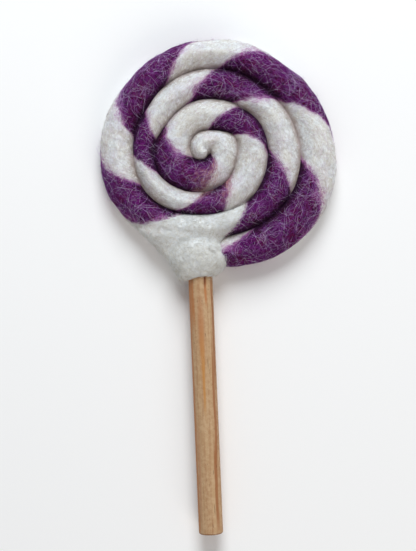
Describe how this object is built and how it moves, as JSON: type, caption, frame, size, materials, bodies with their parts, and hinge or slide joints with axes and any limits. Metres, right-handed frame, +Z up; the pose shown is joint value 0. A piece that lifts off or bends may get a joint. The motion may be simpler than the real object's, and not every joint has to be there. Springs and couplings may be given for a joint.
{
  "type": "felt toy lollipop",
  "caption": "Hand-felted wool play lollipop: a twisted two-colour felt rope coiled into a flat disc, with a felt collar round a wooden dowel stick.",
  "frame": {"origin": "middle of the underside of the part's box, on the surface that the toy lies on", "axes": "+Z up, out of the shown face of the disc; +Y along the stick from its foot to the disc; +X to the right of the shown face"},
  "size_m": [0.078, 0.1634, 0.0126],
  "materials": {
    "purple_felt": "soft needle-felted wool, purple, with fine pale stray hairs",
    "white_felt": "soft needle-felted wool, off-white, slightly fuzzy",
    "collar_felt": "soft needle-felted wool, cream white, matted",
    "stick_wood": "bare sanded softwood dowel with darker grain streaks"
  },
  "bodies": {
    "root": {"purple_strand": "purple_felt", "white_strand": "white_felt", "collar": "collar_felt", "stick": "stick_wood"}
  },
  "joints": []
}
